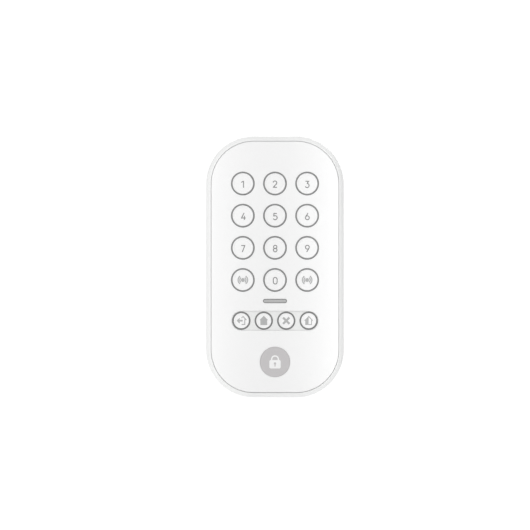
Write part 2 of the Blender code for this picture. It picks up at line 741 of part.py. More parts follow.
def build_contact_plates(unit):
    """Five plates that put the cells in series. Two have a tab through the bay's floor."""
    plates = (
        ("contact_positive", -1.5, -1.5, 1, True),
        ("contact_link_top", -0.5, 0.5, 1, False),
        ("contact_negative", 1.5, 1.5, 1, True),
        ("contact_link_left", -1.5, -0.5, -1, False),
        ("contact_link_right", 0.5, 1.5, -1, False),
    )
    for name, first, last, end, has_tab in plates:
        bay_end = BAY_Z[1] if end > 0 else BAY_Z[0]
        near = bay_end - end * CLEARANCE
        z = sorted((near, near - end * CONTACT_THICKNESS))
        low, high = (cell * CELL_PITCH for cell in (first, last))
        bm = bmesh.new()
        add_box(bm, (low - CONTACT_HALF_WIDTH, high + CONTACT_HALF_WIDTH), CONTACT_DEPTHS, z)
        plate = place_part(name, bm, "nickel", unit)
        if has_tab:
            tab = bmesh.new()
            depths = (CONTACT_DEPTHS[1] - SINK, BOARD[0] - CLEARANCE)
            add_box(tab, around(low, CONTACT_TAB["half_width"]), depths, z)
            combine(plate, tab, "UNION")


def build_contact_springs(unit):
    """A conical spring between each cell's negative end and its plate, clear of both."""
    size = CONTACT_COIL
    reach = CLEARANCE + CONTACT_THICKNESS
    margin = size["wire"] + size["gap"]
    height = BAY_Z[1] - BAY_Z[0] - 2 * reach - NUB_GAP - CELL_LENGTH - 2 * margin
    for i in range(4):
        name = f"contact_spring_{i + 1}"
        if i % 2 == 0:
            foot, turn = BAY_Z[0] + reach + margin, 0.0
        else:
            foot, turn = BAY_Z[1] - reach - margin, math.pi
        spring = coil(name, size["foot"], size["head"], size["wire"], height, size["turns"])
        place = point((i - 1.5) * CELL_PITCH, CELL_DEPTH, foot)
        place_part(name, spring, "nickel", unit, place, (turn, 0.0, 0.0))


def build_housing_screws(unit):
    """Four screws from the case's wells into the fascia's posts."""
    tip, head_front, head_back = 17.9, WELL_FLOOR[0] - CLEARANCE, 5.6
    shaft, head = 1.35, 2.6
    profile = (
        (0.0, tip),
        (1.0, tip),
        (shaft, tip - 0.6),
        (shaft, head_front),
        (head, head_front),
        (head, head_back + 0.6),
        (head - 0.5, head_back),
        (0.0, head_back),
    )
    mesh = profile_mesh("housing_screw", profile)
    for number, (x, z) in enumerate(HOUSING_SCREWS, start=1):
        place = point(x, 0.0, z)
        screw = place_part(f"housing_screw_{number}", mesh, "steel", unit, place, FACING_FRONT)
        turn_profile(screw, SCREW_STEPS)


def build_board_screws(unit):
    """Four screws from the back of the board into the fascia's pillars."""
    tip, head_front, head_back = 23.8, BOARD[0] - CLEARANCE, 17.7
    shaft, head = 0.85, 1.8
    profile = (
        (0.0, tip),
        (shaft, tip - 0.3),
        (shaft, head_front),
        (head, head_front),
        (head, head_back + 0.2),
        (0.0, head_back),
    )
    mesh = profile_mesh("board_screw", profile)
    for number, (x, z) in enumerate(BOARD_SCREWS, start=1):
        place = point(x, 0.0, z)
        screw = place_part(f"board_screw_{number}", mesh, "steel", unit, place, FACING_FRONT)
        turn_profile(screw, 10)


def build_lock_screw(unit):
    """The headless screw in the foot, with its hexagon socket open downwards."""
    foot, top = LOCK_SCREW_Z
    length = top - foot
    radius = LOCK_SCREW_RADIUS
    profile = (
        (0.0, length),
        (radius - 0.4, length),
        (radius, length - 0.5),
        (radius, 0.3),
        (radius - 0.3, 0.0),
        (0.0, 0.0),
    )
    mesh = profile_mesh("lock_screw", profile)
    screw = place_part("lock_screw", mesh, "steel", unit, point(0.0, LOCK_DEPTH, foot))
    turn_profile(screw, 16)
    socket = bmesh.new()
    half_width, depth = LOCK_SOCKET
    add_upright_rod(socket, 0.0, LOCK_DEPTH, half_width, (foot - PAST, foot + depth), 6)
    combine(screw, socket, "DIFFERENCE")


def main():
    for old in list(bpy.data.objects):
        bpy.data.objects.remove(old)
    for name in ("alarm_keypad_panel", "cutters"):
        bpy.context.scene.collection.children.link(bpy.data.collections.new(name))
    unit = bpy.data.objects.new("keypad_unit", None)
    bpy.data.collections["alarm_keypad_panel"].objects.link(unit)
    build_wall_bracket()
    build_rear_housing(unit)
    build_front_fascia(unit)
    build_key_ring_guide(unit)
    build_keys(unit)
    build_status_light_bar(unit)
    build_badge_disc(unit)
    build_key_mat(unit)
    build_dome_film(unit)
    build_circuit_board(unit)
    build_board_components(unit)
    build_tamper_switch(unit)
    build_batteries(unit)
    build_contact_plates(unit)
    build_contact_springs(unit)
    build_housing_screws(unit)
    build_board_screws(unit)
    build_lock_screw(unit)


main()
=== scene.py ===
"""The looks of the wireless alarm keypad panel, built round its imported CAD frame.

Blender 4.5. The frame is in metres, with the wall at Y = 0 and the front facing -Y. Sizes here are
in millimetres, a place is (x, z) seen from the front, and a depth is a distance out from the wall.
Fine meshes stand for the CAD solids that can be seen, and the rest keep their CAD mesh.
"""

import json
import math

import bmesh
import bpy
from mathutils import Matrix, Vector

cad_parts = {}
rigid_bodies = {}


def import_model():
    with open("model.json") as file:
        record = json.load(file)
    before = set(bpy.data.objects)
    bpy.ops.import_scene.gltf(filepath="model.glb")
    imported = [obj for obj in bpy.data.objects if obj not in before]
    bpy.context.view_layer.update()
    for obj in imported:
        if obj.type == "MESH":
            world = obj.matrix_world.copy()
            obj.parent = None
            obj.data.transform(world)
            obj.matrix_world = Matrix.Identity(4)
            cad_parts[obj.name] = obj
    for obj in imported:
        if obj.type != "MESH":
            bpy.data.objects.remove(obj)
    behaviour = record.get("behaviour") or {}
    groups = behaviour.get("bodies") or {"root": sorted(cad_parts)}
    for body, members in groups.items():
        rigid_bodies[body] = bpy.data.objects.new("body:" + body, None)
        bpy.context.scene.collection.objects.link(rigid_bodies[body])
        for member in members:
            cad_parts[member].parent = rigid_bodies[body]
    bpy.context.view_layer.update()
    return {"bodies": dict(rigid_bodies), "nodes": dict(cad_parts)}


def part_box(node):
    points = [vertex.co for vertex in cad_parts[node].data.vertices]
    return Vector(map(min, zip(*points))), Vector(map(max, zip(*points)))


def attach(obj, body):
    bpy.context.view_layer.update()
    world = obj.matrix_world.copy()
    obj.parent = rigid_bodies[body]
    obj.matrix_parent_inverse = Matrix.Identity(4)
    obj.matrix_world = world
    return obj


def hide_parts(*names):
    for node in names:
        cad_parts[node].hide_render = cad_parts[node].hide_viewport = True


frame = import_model()

MM = 0.001
PAST = 1.0  # how far a cutter runs past the face it cuts
SINK = 0.6  # how far a joined shape starts inside the wall that it stands on
GAP = 0.1  # round a piece that sits in a close hole


def span(node):
    """A CAD node's ranges across, out from the wall and up."""
    low, high = (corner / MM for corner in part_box(node))
    return (low.x, high.x), (-high.y, -low.y), (low.z, high.z)


def middle(node):
    """The middle of a CAD node, as a place."""
    x, _, z = span(node)
    return sum(x) / 2, sum(z) / 2


# Outline, from the frame
CASE_X, CASE_DEPTHS, CASE_Z = span("rear_housing")
WIDTH = CASE_X[1] - CASE_X[0]
HEIGHT = CASE_Z[1] - CASE_Z[0]
CORNER_RADIUS = 27.0
CORNER_STEPS = 24
CIRCLE_STEPS = 64
DISC_STEPS = 96  # round the badge and its seat
ROD_STEPS = 48
SHARP_ANGLE = math.radians(38)
SMALL_EDGE = 0.15  # rounding of the case's and the bracket's cut edges

# Case wall and fascia edge, as insets from the outline
WALL = 2.4
WALL_FRONT = 21.6
RIM_BACK = CASE_DEPTHS[0]
RIM_ROUND = 0.6
SHOULDER = ((0.0, 21.0), (0.0, 23.1), (2.15, 26.5), (2.7, 26.5))
LIP_INSET = 2.7
LEDGE_INSET = 4.2
LEDGE = (23.4, 24.7)
FASCIA_INSET = 2.95
FASCIA_FRONT = span("front_fascia")[1][1]
FASCIA_BACK = 24.8
FASCIA_ROUND = 0.32
HOLE_ROUND = 0.08
SKIRT_INSET = (4.5, 5.7)
SKIRT_BACK = 22.6

# Keys, whose tops and ends come from the frame
KEYS = [name for name in frame["bodies"] if name.startswith("key_")]
LARGE_KEY = {"cap": 5.85, "ring_in": 5.97, "ring_out": 6.62, "flange": 6.5, "stem": 2.0}
SMALL_KEY = {"cap": 4.31, "ring_in": 4.43, "ring_out": 5.08, "flange": 5.0, "stem": 1.7}
KEY_FLANGE = (22.9, 23.7)
KEY_DISH = 0.2
KEY_RISE = 1.3  # how far in from the cap's side its flat middle starts
KEY_ROUND = 0.25
RING_PLATE = (23.8, 24.7)
RING_TOP = span("key_ring_guide")[1][1]
RING_ROUND = 0.12
RING_PLATE_CORNER = 8.0

# Front details
FUNCTION_STRIP_GROW = 0.42
FUNCTION_STRIP_RECESS = 0.35
STRIP_GROOVE = (0.16, 0.4)  # width and depth of the line round the strip
STATUS_BAR = (13.4, 2.2)
STATUS_BAR_FLANGE = 1.0
BAR_CROWN = 0.1  # how far the lens rises inside its border
BAR_ROUND = 0.3
BADGE_RECESS = 0.9
BADGE_SEAT_ROUND = 0.1
BADGE_ROUND = 0.15

# Inside the case
BACK_WALL = (2.9, 4.5)
WELL_FLOOR = (8.0, 9.5)
BAY_FLOOR = (17.4, 18.6)
BAY_HALF_WIDTH = 30.2
BAY_Z = (-40.3, 17.3)
BAY_WALL = 1.2
CONTACT_SLOT = {"half_width": 1.6, "z": (16.6, 17.6)}
POST = {"radius": 3.2, "bore": 1.5, "bore_front": 19.0}
PILLAR = {"radius": 2.0, "bore": 1.0, "bore_front": 24.4}
WELL = {"radius": 4.2, "bore": 3.1, "hole": 1.7}
HOUSING_SCREWS = [name for name in frame["nodes"] if name.startswith("housing_screw_")]
BOARD_SCREWS = [name for name in frame["nodes"] if name.startswith("board_screw_")]

# Bracket, its hooks and the case's openings for them
BRACKET = (0.0, 2.0)
HOOKS = ((-20.0, 40.0), (20.0, 40.0), (-20.0, -45.0), (20.0, -45.0))
HOOK_STEM = 2.0
HOOK_LIP = (4.8, 6.4)
HOOK_LIP_HALF = 4.0
HOOK_SLIP = 0.4
LIFT = 6.0
WALL_SLOTS = (58.0, -40.0)
WALL_SLOT = (5.0, 10.0)
WALL_SLOT_SEAT = (9.6, 14.6)
WALL_SLOT_LAND = 0.7
LOCK_DEPTH = 6.5
LOCK_TAB_HALF = 5.0
LOCK_TAB_FRONT = 11.0
LOCK_TAB_Z = (-59.0, -56.0)
LOCK_BOSS_HALF = 3.4
LOCK_SCREW_RADIUS = 1.5
LOCK_SOCKET = (0.87, 1.8)  # radius to its corners, and depth
TAMPER_TUBE = {"radius": 4.2, "bore": 3.3, "hole": 2.1, "front": 12.0}
TAMPER_WINDOW = 6.4
BRACKET_ROUND = 0.3
RELIEF = {"depths": (-PAST, 0.5), "rim": 4.0, "bar": 1.6, "end_row": 22.0, "spine": 8.0, "corner": 2.5}

# Legends, printed on the caps
PRINT = (-0.02, 0.03)  # depths from the face that they are printed on
DIGIT_STROKE = 0.50
DIGIT_LINE = 1.70  # height of the middle of a digit's top and bottom strokes
DIGIT_TOP = DIGIT_LINE + DIGIT_STROKE / 2
DIGIT_HALF_WIDTH = 1.08
DIGIT_SHIFT = (0.12, -0.42)
ICON_STROKE = 0.55
HEAVY_STROKES = {"wave": 0.68, "heavy line": 0.95, "bar": 1.22}


# ---- outlines, as lists of places -----------------------------------------------------------------


def arc(centre, radii, start, end, steps=CORNER_STEPS):
    """Places on an ellipse from one angle to another, in degrees anticlockwise from the right."""
    angles = [math.radians(start + (end - start) * step / steps) for step in range(steps + 1)]
    across, up = radii
    return [(centre[0] + across * math.cos(a), centre[1] + up * math.sin(a)) for a in angles]


def circle(radius, centre=(0.0, 0.0), steps=CIRCLE_STEPS):
    return arc(centre, (radius, radius), 0, 360, steps)[:-1]


def rounded(width, height, radius, centre=(0.0, 0.0), steps=CORNER_STEPS):
    """A rectangle with round corners, anticlockwise from the right."""
    points = []
    for quarter, (right, top) in enumerate(((1, 1), (-1, 1), (-1, -1), (1, -1))):
        x = centre[0] + right * (width / 2 - radius)
        z = centre[1] + top * (height / 2 - radius)
        for corner in arc((x, z), (radius, radius), 90 * quarter, 90 * quarter + 90, steps):
            if not points or math.dist(corner, points[-1]) > 1e-6:
                points.append(corner)
    if math.dist(points[0], points[-1]) < 1e-6:
        points.pop()
    return points


def case_outline(inset):
    return rounded(WIDTH - 2 * inset, HEIGHT - 2 * inset, CORNER_RADIUS - inset)


def stadium(width, height, centre, grow=0.0, steps=12):
    """An outline with round ends, grown all round."""
    width, height = width + 2 * grow, height + 2 * grow
    return rounded(width, height, min(width, height) / 2, centre, steps)


def rounding(front, radius, steps=4):
    """(inset, depth) steps that turn a wall over into a face at the front depth."""
    angles = [math.pi / 2 * step / steps for step in range(steps + 1)]
    return [(radius * (1 - math.cos(a)), front - radius + radius * math.sin(a)) for a in angles]


def softened(points, rounds=3):
    """Cuts the corners off an open line until it is smooth. Its ends stay."""
    for _ in range(rounds):
        cut = [points[0]]
        for (ax, az), (bx, bz) in zip(points, points[1:]):
            cut.append((0.75 * ax + 0.25 * bx, 0.75 * az + 0.25 * bz))
            cut.append((0.25 * ax + 0.75 * bx, 0.25 * az + 0.75 * bz))
        points = [*cut, points[-1]]
    return points


def around(centre, half):
    return (centre - half, centre + half)


def past(depths):
    return (depths[0] - PAST, depths[1] + PAST)


# ---- mesh work ------------------------------------------------------------------------------------


def point(x, depth, z):
    """A place in metres, from millimetres across, out from the wall, and up."""
    return Vector((x, -depth, z)) * MM


def loops_of(bm, sections):
    """A loop of vertices for each (outline, depth)."""
    return [[bm.verts.new(point(x, depth, z)) for x, z in outline] for outline, depth in sections]


def join_loops(bm, loops, ring=False):
    """Walls between loops of the same length. A ring's last loop meets its first."""
    for back, front in zip(loops, loops[1:] + loops[:1] if ring else loops[1:]):
        for i, (a, b) in enumerate(zip(back, front)):
            j = (i + 1) % len(back)
            bm.faces.new((a, back[j], front[j], b))


def walls(bm, sections, ring=False):
    """Skins over (outline, depth) sections, and gives back the first and last loops."""
    loops = loops_of(bm, sections)
    join_loops(bm, loops, ring)
    return loops[0], loops[-1]


def fill(bm, *loops):
    """Covers the flat area between an outer loop and the loops inside it."""
    pairs = [pair for loop in loops for pair in zip(loop, loop[1:] + loop[:1])]
    edges = [bm.edges.get(pair) for pair in pairs]
    return bmesh.ops.triangle_fill(bm, edges=edges, use_beauty=True)["geom"]


def add_solid(bm, sections):
    """A lofted solid with flat ends."""
    for end in walls(bm, sections):
        bm.faces.new(end)


def add_plate(bm, outline, depths):
    add_solid(bm, [(outline, depth) for depth in depths])


def add_rod(bm, place, radius, depths, steps=ROD_STEPS):
    add_plate(bm, circle(radius, place, steps), depths)


def add_box(bm, x, depths, z):
    add_plate(bm, [(x[1], z[1]), (x[0], z[1]), (x[0], z[0]), (x[1], z[0])], depths)


def add_upright_rod(bm, x, depth, sections, steps=ROD_STEPS):
    """A round bar along Z through (radius, z) sections."""
    loops = []
    for radius, z in sections:
        ring = circle(radius, steps=steps)
        loops.append([bm.verts.new(point(x + u, depth + v, z)) for u, v in ring])
    join_loops(bm, loops)
    bm.faces.new(loops[0])
    bm.faces.new(loops[-1])


def add_stroke(bm, path, width, depths, closed=False):
    """A flat band of that width along the path, with mitred corners."""
    stations = []
    for i, here in enumerate(path):
        near = [path[i - 1]] if closed or i else []
        near.append(here)
        near += [path[(i + 1) % len(path)]] if closed or i + 1 < len(path) else []
        ways = [(Vector(b) - Vector(a)).normalized() for a, b in zip(near, near[1:])]
        along = sum(ways, Vector((0.0, 0.0))).normalized()
        reach = width / 2 / along.dot(ways[0])
        sides = [(here[0] - along.y * side, here[1] + along.x * side) for side in (reach, -reach)]
        orders = (depths, depths[::-1])
        corners = [(place, depth) for place, order in zip(sides, orders) for depth in order]
        stations.append([bm.verts.new(point(x, depth, z)) for (x, z), depth in corners])
    join_loops(bm, stations, ring=closed)
    if not closed:
        bm.faces.new(stations[0])
        bm.faces.new(stations[-1])


def mesh_of(bm, name):
    bmesh.ops.recalc_face_normals(bm, faces=bm.faces[:])
    mesh = bpy.data.meshes.new(name)
    bm.to_mesh(mesh)
    bm.free()
    return mesh


def new_piece(name, bm, *materials):
    obj = bpy.data.objects.new(name, mesh_of(bm, name))
    bpy.context.scene.collection.objects.link(obj)
    for material in materials:
        obj.data.materials.append(material)
    return obj


def combine(obj, bm, operation):
    """Joins the shape to the piece, or cuts it away."""
    other = new_piece("other", bm)
    modifier = obj.modifiers.new("combine", "BOOLEAN")
    modifier.operation = operation
    modifier.solver = "EXACT"
    modifier.use_self = True
    modifier.object = other
    shape = obj.evaluated_get(bpy.context.evaluated_depsgraph_get())
    obj.data = bpy.data.meshes.new_from_object(shape)
    obj.modifiers.clear()
    bpy.data.objects.remove(other)


def finish_piece(obj, body, slot, *nodes, edge=0.0):
    """Rounds the piece's sharp edges, shades it, and lets it stand for its CAD nodes."""
    obj.data.shade_smooth()
    obj.data.set_sharp_from_angle(angle=SHARP_ANGLE)
    if edge:
        bevel = obj.modifiers.new("edges", "BEVEL")
        bevel.width = edge * MM
        bevel.segments = 2
        bevel.limit_method = "ANGLE"
        bevel.angle_limit = SHARP_ANGLE
        bevel.use_clamp_overlap = True
    normals = obj.modifiers.new("flat faces", "WEIGHTED_NORMAL")
    normals.weight = 90
    normals.keep_sharp = True
    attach(obj, body)
    if nodes:
        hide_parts(*nodes)


# ---- materials ------------------------------------------------------------------------------------

# Each finish: two colours that it drifts between, the roughness from and to, metallic, the size
# and height of its grain, and how much clear gloss lies over it
FINISHES = {
    "white_shell": ((0.87, 0.875, 0.87), (0.885, 0.889, 0.885), (0.38, 0.44), 0.0, 0.35, 0.004, 0.0),
    "white_fascia": ((0.892, 0.892, 0.892), (0.898, 0.898, 0.898), (0.27, 0.29), 0.0, 0.5, 0.002, 0.1),
    # a darker grey for the recessed strip's floor
    "strip_floor_darker": ((0.81, 0.815, 0.81), (0.83, 0.835, 0.83), (0.30, 0.38), 0.0, 0.5, 0.002, 0.0),
    "white_key": ((0.90, 0.90, 0.90), (0.91, 0.91, 0.91), (0.34, 0.38), 0.0, 0.3, 0.002, 0.0),
    "white_bracket": ((0.78, 0.78, 0.77), (0.82, 0.82, 0.81), (0.48, 0.60), 0.0, 0.4, 0.006, 0.0),
    "grey_ring": ((0.27, 0.272, 0.272), (0.30, 0.302, 0.302), (0.40, 0.50), 0.0, 0.3, 0.003, 0.0),
    "dark_ring": ((0.20, 0.202, 0.202), (0.23, 0.232, 0.232), (0.40, 0.50), 0.0, 0.3, 0.003, 0.0),
    "grey_lens": ((0.45, 0.45, 0.45), (0.48, 0.48, 0.48), (0.18, 0.26), 0.0, 0.6, 0.001, 0.3),
    # painted shade: a darker grey on the lens's border, for the shadowed gap round the lens
    "lens_border_painted_shade": ((0.24, 0.24, 0.24), (0.27, 0.27, 0.27), (0.25, 0.35), 0.0, 0.4, 0.002, 0.0),
    "grey_badge": ((0.535, 0.52, 0.525), (0.56, 0.545, 0.55), (0.30, 0.40), 0.0, 0.25, 0.003, 0.0),
    "digit_print": ((0.20, 0.202, 0.202), (0.23, 0.232, 0.232), (0.45, 0.60), 0.0, 0.2, 0.002, 0.0),
    "icon_print": ((0.43, 0.432, 0.432), (0.46, 0.462, 0.462), (0.45, 0.60), 0.0, 0.2, 0.002, 0.0),
    "badge_print": ((0.87, 0.87, 0.87), (0.90, 0.90, 0.90), (0.35, 0.45), 0.0, 0.3, 0.002, 0.0),
    "silicone": ((0.69, 0.70, 0.70), (0.75, 0.76, 0.76), (0.60, 0.72), 0.0, 0.6, 0.004, 0.0),
    "dome_film": ((0.68, 0.64, 0.50), (0.72, 0.68, 0.54), (0.30, 0.40), 0.0, 1.2, 0.002, 0.0),
    "board_green": ((0.015, 0.14, 0.06), (0.03, 0.18, 0.08), (0.35, 0.50), 0.0, 0.7, 0.008, 0.2),
    "chip_black": ((0.012, 0.012, 0.014), (0.022, 0.022, 0.024), (0.45, 0.60), 0.0, 0.2, 0.006, 0.0),
    "led_clear": ((0.83, 0.80, 0.58), (0.87, 0.84, 0.62), (0.18, 0.28), 0.0, 0.5, 0.002, 0.2),
    "steel": ((0.54, 0.55, 0.56), (0.60, 0.61, 0.62), (0.24, 0.36), 1.0, 0.25, 0.003, 0.0),
    "nickel": ((0.64, 0.61, 0.54), (0.70, 0.67, 0.60), (0.22, 0.34), 1.0, 0.25, 0.002, 0.0),
    "cell_sleeve": ((0.04, 0.044, 0.05), (0.06, 0.066, 0.07), (0.28, 0.38), 0.0, 0.8, 0.003, 0.2),
    "tamper_white": ((0.81, 0.81, 0.78), (0.85, 0.85, 0.82), (0.45, 0.55), 0.0, 0.3, 0.004, 0.0),
}
DRIFT_SIZE = 28.0


def finish_of(name):
    """A finish's material, made at its first use: a fine relief, and a slow drift of tone and gloss."""
    found = bpy.data.materials.get(f"{name}_finish")
    if found:
        return found
    dark, light, roughness, metallic, grain_size, grain_height, coat = FINISHES[name]
    made = bpy.data.materials.new(f"{name}_finish")
    made.use_nodes = True
    nodes, links = made.node_tree.nodes, made.node_tree.links
    shader = nodes["Principled BSDF"]
    place = nodes.new("ShaderNodeTexCoord")

    drift = nodes.new("ShaderNodeTexNoise")
    drift.inputs["Scale"].default_value = 1 / (DRIFT_SIZE * MM)
    drift.inputs["Detail"].default_value = 3.0
    links.new(place.outputs["Object"], drift.inputs["Vector"])

    tone = nodes.new("ShaderNodeMix")
    tone.data_type = "RGBA"
    tone.inputs["A"].default_value = (*dark, 1.0)
    tone.inputs["B"].default_value = (*light, 1.0)
    links.new(drift.outputs["Fac"], tone.inputs["Factor"])
    links.new(tone.outputs["Result"], shader.inputs["Base Color"])

    gloss = nodes.new("ShaderNodeMapRange")
    gloss.inputs["To Min"].default_value, gloss.inputs["To Max"].default_value = roughness
    links.new(drift.outputs["Fac"], gloss.inputs["Value"])
    links.new(gloss.outputs["Result"], shader.inputs["Roughness"])

    grain = nodes.new("ShaderNodeTexNoise")
    grain.inputs["Scale"].default_value = 1 / (grain_size * MM)
    grain.inputs["Detail"].default_value = 2.0
    links.new(place.outputs["Object"], grain.inputs["Vector"])
    relief = nodes.new("ShaderNodeBump")
    relief.inputs["Distance"].default_value = grain_height * MM
    links.new(grain.outputs["Fac"], relief.inputs["Height"])
    links.new(relief.outputs["Normal"], shader.inputs["Normal"])

    shader.inputs["Metallic"].default_value = metallic
    shader.inputs["Coat Weight"].default_value = coat
    return made


# ---- the keypad's outside -------------------------------------------------------------------------


def cut_bracket_openings(bm):
    """Keyholes for the bracket's hooks, wide below and narrow above, and a slot for its tab."""
    through = past(BACK_WALL)
    narrow = HOOK_STEM + HOOK_SLIP
    for x, z in HOOKS:
        bottom = z - LIFT - narrow
        add_box(bm, around(x, narrow), through, (bottom, z + narrow))
        add_box(bm, around(x, HOOK_LIP_HALF + HOOK_SLIP), through, (bottom, z - LIFT + narrow))
    tab_z = (LOCK_TAB_Z[0] - LIFT - HOOK_SLIP, LOCK_TAB_Z[1] + HOOK_SLIP)
    add_box(bm, around(0.0, LOCK_TAB_HALF + HOOK_SLIP), through, tab_z)


def build_housing():
    """The case: a shell with a soft shoulder, and the back wall with its bay, wells and openings."""
    back_edge = [(inset, 2 * RIM_BACK - depth) for inset, depth in rounding(RIM_BACK, RIM_ROUND)]
    profile = [
        *reversed(back_edge),
        *softened(SHOULDER),
        (LIP_INSET, LEDGE[1]),
        (LEDGE_INSET, LEDGE[1]),
        (LEDGE_INSET, LEDGE[0]),
        (WALL, WALL_FRONT),
        (WALL, RIM_BACK),
    ]
    shell = bmesh.new()
    walls(shell, [(case_outline(inset), depth) for inset, depth in profile], ring=True)
    housing = new_piece("case_shell", shell, finish_of("white_shell"))
    start = BACK_WALL[0] + SINK
    foot = CASE_Z[0]
    tamper = middle("tamper_plunger")
    screws = [middle(name) for name in HOUSING_SCREWS]

    added = bmesh.new()
    add_plate(added, case_outline(WALL - SINK), BACK_WALL)
    bay_z = (BAY_Z[0] - BAY_WALL, BAY_Z[1] + BAY_WALL)
    add_box(added, around(0.0, BAY_HALF_WIDTH + BAY_WALL), (start, BAY_FLOOR[1]), bay_z)
    for place in screws:
        add_rod(added, place, WELL["radius"], (start, WELL_FLOOR[1]))
    add_rod(added, tamper, TAMPER_TUBE["radius"], (start, TAMPER_TUBE["front"]))
    boss_top = LOCK_TAB_Z[0] - LIFT - HOOK_SLIP
    boss_front = LOCK_DEPTH + LOCK_BOSS_HALF
    add_box(added, around(0.0, LOCK_BOSS_HALF), (start, boss_front), (foot + SINK, boss_top))
    combine(housing, added, "UNION")

    removed = bmesh.new()
    add_box(removed, around(0.0, BAY_HALF_WIDTH), (BACK_WALL[0] - PAST, BAY_FLOOR[0]), BAY_Z)
    for contact in ("contact_positive", "contact_negative"):
        x = middle(contact)[0]
        add_box(removed, around(x, CONTACT_SLOT["half_width"]), past(BAY_FLOOR), CONTACT_SLOT["z"])
    for place in screws:
        add_rod(removed, place, WELL["bore"], (BACK_WALL[0] - PAST, WELL_FLOOR[0]))
        add_rod(removed, place, WELL["hole"], past(WELL_FLOOR))
    add_rod(removed, tamper, TAMPER_TUBE["bore"], (BACK_WALL[1], TAMPER_TUBE["front"] + PAST))
    add_rod(removed, tamper, TAMPER_TUBE["hole"], past(BACK_WALL))
    cut_bracket_openings(removed)
    bore = LOCK_SCREW_RADIUS + GAP
    mouth = 0.4  # chamfer at the foot
    sections = (
        (bore + mouth + PAST, foot - PAST),
        (bore + mouth, foot),
        (bore, foot + mouth),
        (bore, boss_top + PAST),
    )
    add_upright_rod(removed, 0.0, LOCK_DEPTH, sections)
    combine(housing, removed, "DIFFERENCE")
    finish_piece(housing, "keypad_unit", "white_shell", "rear_housing", edge=SMALL_EDGE)


def key_sizes(name):
    """A key's place, and its sizes by the width of its flange."""
    x, _, _ = span(name)
    return middle(name), LARGE_KEY if x[1] - x[0] > 2 * SMALL_KEY["flange"] + GAP else SMALL_KEY


def hole_sections(outline_at, radius_of_edge, back):
    """A hole's wall from its rounded front edge to the back. outline_at gives its outline, grown."""
    steps = rounding(FASCIA_FRONT, radius_of_edge)
    return [(outline_at(grow), depth) for grow, depth in reversed(steps)] + [(outline_at(0.0), back)]


def build_fascia():
    """The front panel, with its rounded openings, the recessed strip and the badge's seat."""
    panel = bmesh.new()
    edge = [(case_outline(FASCIA_INSET), FASCIA_BACK)]
    for inset, depth in rounding(FASCIA_FRONT, FASCIA_ROUND):
        edge.append((case_outline(FASCIA_INSET + inset), depth))
    back_edge, front_edge = walls(panel, edge)
    fronts, backs = [front_edge], [back_edge]

    strip_floor = FASCIA_FRONT - FUNCTION_STRIP_RECESS
    strip_keys, strip_holes = [], []
    for name in KEYS:
        place, sizes = key_sizes(name)
        radius = sizes["ring_out"] + GAP
        if sizes is LARGE_KEY:
            front, back = walls(
                panel,
                hole_sections(lambda grow: circle(radius + grow, place), HOLE_ROUND, FASCIA_BACK),
            )
            fronts.append(front)
        else:
            hole = circle(radius, place)
            front, back = walls(panel, [(hole, strip_floor), (hole, FASCIA_BACK)])
            strip_holes.append(front)
            strip_keys.append(place)
        backs.append(back)

    bar = middle("status_light_bar")
    front, back = walls(
        panel,
        hole_sections(lambda grow: stadium(*STATUS_BAR, bar, GAP + grow), HOLE_ROUND, FASCIA_BACK),
    )
    fronts.append(front)
    backs.append(back)

    left, right = min(strip_keys), max(strip_keys)
    reach = SMALL_KEY["ring_out"] + FUNCTION_STRIP_GROW
    strip = (right[0] - left[0] + 2 * reach, 2 * reach)
    strip_centre = ((left[0] + right[0]) / 2, left[1])
    groove_width, groove_depth = STRIP_GROOVE
    groove_floor = strip_floor - groove_depth
    sections = hole_sections(
        lambda grow: stadium(*strip, strip_centre, grow, CORNER_STEPS),
        HOLE_ROUND,
        groove_floor,
    )
    inner = stadium(*strip, strip_centre, -groove_width, CORNER_STEPS)
    front, floor = walls(panel, [*sections, (inner, groove_floor), (inner, strip_floor)])
    fronts.append(front)
    # The strip's recessed floor gets the second material, a darker grey than the panel.
    darker_floor_faces = [f for f in fill(panel, floor, *strip_holes) if isinstance(f, bmesh.types.BMFace)]
    for face in darker_floor_faces:
        face.material_index = 1

    badge = middle("badge_disc")
    badge_x = span("badge_disc")[0]
    seat = (badge_x[1] - badge_x[0]) / 2 + GAP
    sections = hole_sections(
        lambda grow: circle(seat + grow, badge, DISC_STEPS),
        BADGE_SEAT_ROUND,
        FASCIA_FRONT - BADGE_RECESS,
    )
    front, floor = walls(panel, sections)
    fronts.append(front)
    panel.faces.new(floor)
    fill(panel, *fronts)
    fill(panel, *backs)
    fascia = new_piece("fascia_panel", panel, finish_of("white_fascia"), finish_of("strip_floor_darker"))

    added = bmesh.new()
    inside = FASCIA_BACK + SINK
    outer, inner = (case_outline(inset) for inset in SKIRT_INSET)
    skirt = [(outer, SKIRT_BACK), (outer, inside), (inner, inside), (inner, SKIRT_BACK)]
    walls(added, skirt, ring=True)
    for name in HOUSING_SCREWS:
        add_rod(added, middle(name), POST["radius"], (WELL_FLOOR[1] + 2 * GAP, inside))
    for name in BOARD_SCREWS:
        add_rod(added, middle(name), PILLAR["radius"], (span("circuit_board")[1][1] + GAP, inside))
    combine(fascia, added, "UNION")

    removed = bmesh.new()
    for name in HOUSING_SCREWS:
        add_rod(removed, middle(name), POST["bore"], (WELL_FLOOR[1] - PAST, POST["bore_front"]))
    for name in BOARD_SCREWS:
        back = span("circuit_board")[1][1] - PAST
        add_rod(removed, middle(name), PILLAR["bore"], (back, PILLAR["bore_front"]))
    combine(fascia, removed, "DIFFERENCE")
    finish_piece(fascia, "keypad_unit", "white_fascia", "front_fascia")


